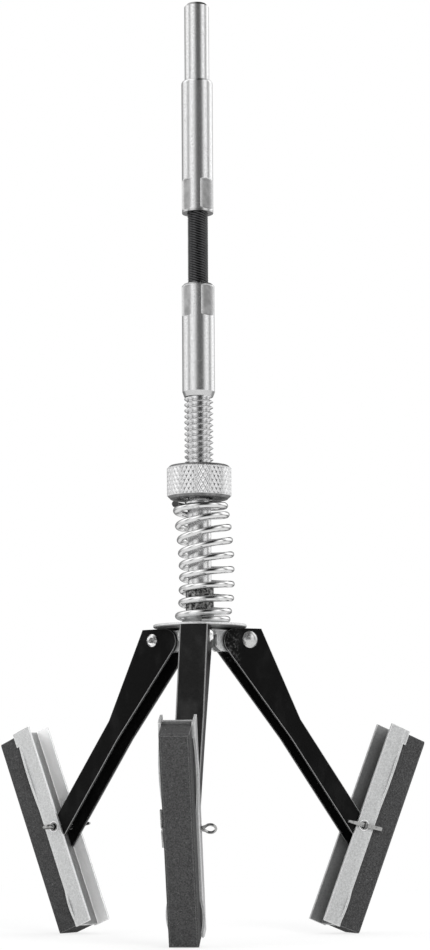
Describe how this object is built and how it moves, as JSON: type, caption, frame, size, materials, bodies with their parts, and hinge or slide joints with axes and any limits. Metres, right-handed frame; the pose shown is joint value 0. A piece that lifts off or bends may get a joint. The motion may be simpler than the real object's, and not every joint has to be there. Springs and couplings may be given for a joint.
{
  "type": "cylinder hone",
  "caption": "Cylinder hone: drive shank and flexible shaft over a threaded spindle, knurled tension nut, spring, disc plate and pivoting arms that spread abrasive stones.",
  "frame": {"origin": "on the tool's axis, where the drive shank leaves the top face of its ferrule", "axes": "+Z along the drive shank towards the drill; the first arm points along -Y and the others follow at thirds of a turn"},
  "size_m": [0.1072, 0.0931, 0.227],
  "materials": {
    "turned_steel": "bright zinc-plated turned steel",
    "cable_steel": "black oiled wound steel wire",
    "spring_steel": "polished spring wire",
    "zinc_plate": "satin zinc-plated pressed steel with bright cut edges",
    "dark_sleeve": "dark mottled steel",
    "black_paint": "glossy black paint on pressed steel",
    "rivet_steel": "bright plated steel",
    "abrasive_stone": "dark grey fine-grain vitrified abrasive"
  },
  "bodies": {
    "shank": {"drive_shank": "turned_steel"},
    "flexible_shaft": {"cable_core": "cable_steel", "cable_winding": "cable_steel"},
    "spindle": {"spindle": "turned_steel", "arm_bracket": "zinc_plate", "retaining_washer": "zinc_plate", "pivot_rivet_1": "rivet_steel", "pivot_rivet_2": "rivet_steel", "pivot_rivet_3": "rivet_steel"},
    "pressure_plate": {"pressure_plate": "zinc_plate", "spring_seat": "zinc_plate", "guide_sleeve": "dark_sleeve"},
    "spring": {"expansion_spring": "spring_steel"},
    "nut": {"tension_nut": "turned_steel"},
    "arm_1": {"arm_1": "black_paint"},
    "cotter_pin_1": {"cotter_pin_1": "rivet_steel"},
    "stone_1": {"stone_holder_1": "zinc_plate", "stone_1": "abrasive_stone"},
    "arm_2": {"arm_2": "black_paint"},
    "cotter_pin_2": {"cotter_pin_2": "rivet_steel"},
    "stone_2": {"stone_holder_2": "zinc_plate", "stone_2": "abrasive_stone"},
    "arm_3": {"arm_3": "black_paint"},
    "cotter_pin_3": {"cotter_pin_3": "rivet_steel"},
    "stone_3": {"stone_holder_3": "zinc_plate", "stone_3": "abrasive_stone"}
  },
  "joints": [
    {"name": "shaft_bend_x", "type": "hinge", "parent": "shank", "child": "flexible_shaft", "pos_m": [0, 0, -0.0411], "axis": [1, 0, 0], "range_deg": [-25, 25], "stiffness_Nm_per_rad": 0.6, "deforming": ["cable_core", "cable_winding"]},
    {"name": "shaft_bend_y", "type": "hinge", "parent": "flexible_shaft", "child": "spindle", "pos_m": [0, 0, -0.0411], "axis": [0, 1, 0], "range_deg": [-25, 25], "stiffness_Nm_per_rad": 0.6, "deforming": ["cable_core", "cable_winding"]},
    {"name": "plate_lift", "type": "slide", "parent": "spindle", "child": "pressure_plate", "axis": [0, 0, 1], "range_m": [0, 0.00222], "deforming": ["expansion_spring"]},
    {"name": "nut_travel", "type": "slide", "parent": "spindle", "child": "spring", "axis": [0, 0, 1], "range_m": [-0.001, 0.0164], "deforming": ["expansion_spring"]},
    {"name": "nut_turn", "type": "hinge", "parent": "spring", "child": "nut", "pos_m": [0, 0, -0.09815], "axis": [0, 0, 1], "range_deg": [-256, 4200]},
    {"name": "arm_1_swing", "type": "hinge", "parent": "spindle", "child": "arm_1", "pos_m": [0, -0.0118, -0.1361], "axis": [1, 0, 0], "range_deg": [0, 34], "stiffness_Nm_per_rad": 0.034, "springref_deg": -25.21},
    {"name": "cotter_1_turn", "type": "hinge", "parent": "arm_1", "child": "cotter_pin_1", "pos_m": [0, -0.04233, -0.18136], "axis": [-1, 0, 0], "range_deg": [0, 41]},
    {"name": "stone_1_tilt", "type": "hinge", "parent": "cotter_pin_1", "child": "stone_1", "pos_m": [0, -0.04233, -0.18136], "axis": [-1, 0, 0], "range_deg": [-1.5, 14]},
    {"name": "arm_2_swing", "type": "hinge", "parent": "spindle", "child": "arm_2", "pos_m": [0.01022, 0.0059, -0.1361], "axis": [-0.5, 0.866, 0], "range_deg": [0, 34], "stiffness_Nm_per_rad": 0.034, "springref_deg": -25.21},
    {"name": "cotter_2_turn", "type": "hinge", "parent": "arm_2", "child": "cotter_pin_2", "pos_m": [0.03666, 0.02117, -0.18136], "axis": [0.5, -0.866, 0], "range_deg": [0, 41]},
    {"name": "stone_2_tilt", "type": "hinge", "parent": "cotter_pin_2", "child": "stone_2", "pos_m": [0.03666, 0.02117, -0.18136], "axis": [0.5, -0.866, 0], "range_deg": [-1.5, 14]},
    {"name": "arm_3_swing", "type": "hinge", "parent": "spindle", "child": "arm_3", "pos_m": [-0.01022, 0.0059, -0.1361], "axis": [-0.5, -0.866, 0], "range_deg": [0, 34], "stiffness_Nm_per_rad": 0.034, "springref_deg": -25.21},
    {"name": "cotter_3_turn", "type": "hinge", "parent": "arm_3", "child": "cotter_pin_3", "pos_m": [-0.03666, 0.02117, -0.18136], "axis": [0.5, 0.866, 0], "range_deg": [0, 41]},
    {"name": "stone_3_tilt", "type": "hinge", "parent": "cotter_pin_3", "child": "stone_3", "pos_m": [-0.03666, 0.02117, -0.18136], "axis": [0.5, 0.866, 0], "range_deg": [-1.5, 14]}
  ],
  "couplings": [
    {"joint": "nut_turn", "follows": "nut_travel", "rad_per_m": 4456.2},
    {"joint": "arm_1_swing", "follows": "plate_lift", "rad_per_m": 266.67},
    {"joint": "cotter_1_turn", "follows": "plate_lift", "rad_per_m": 320},
    {"joint": "arm_2_swing", "follows": "plate_lift", "rad_per_m": 266.67},
    {"joint": "cotter_2_turn", "follows": "plate_lift", "rad_per_m": 320},
    {"joint": "arm_3_swing", "follows": "plate_lift", "rad_per_m": 266.67},
    {"joint": "cotter_3_turn", "follows": "plate_lift", "rad_per_m": 320}
  ]
}
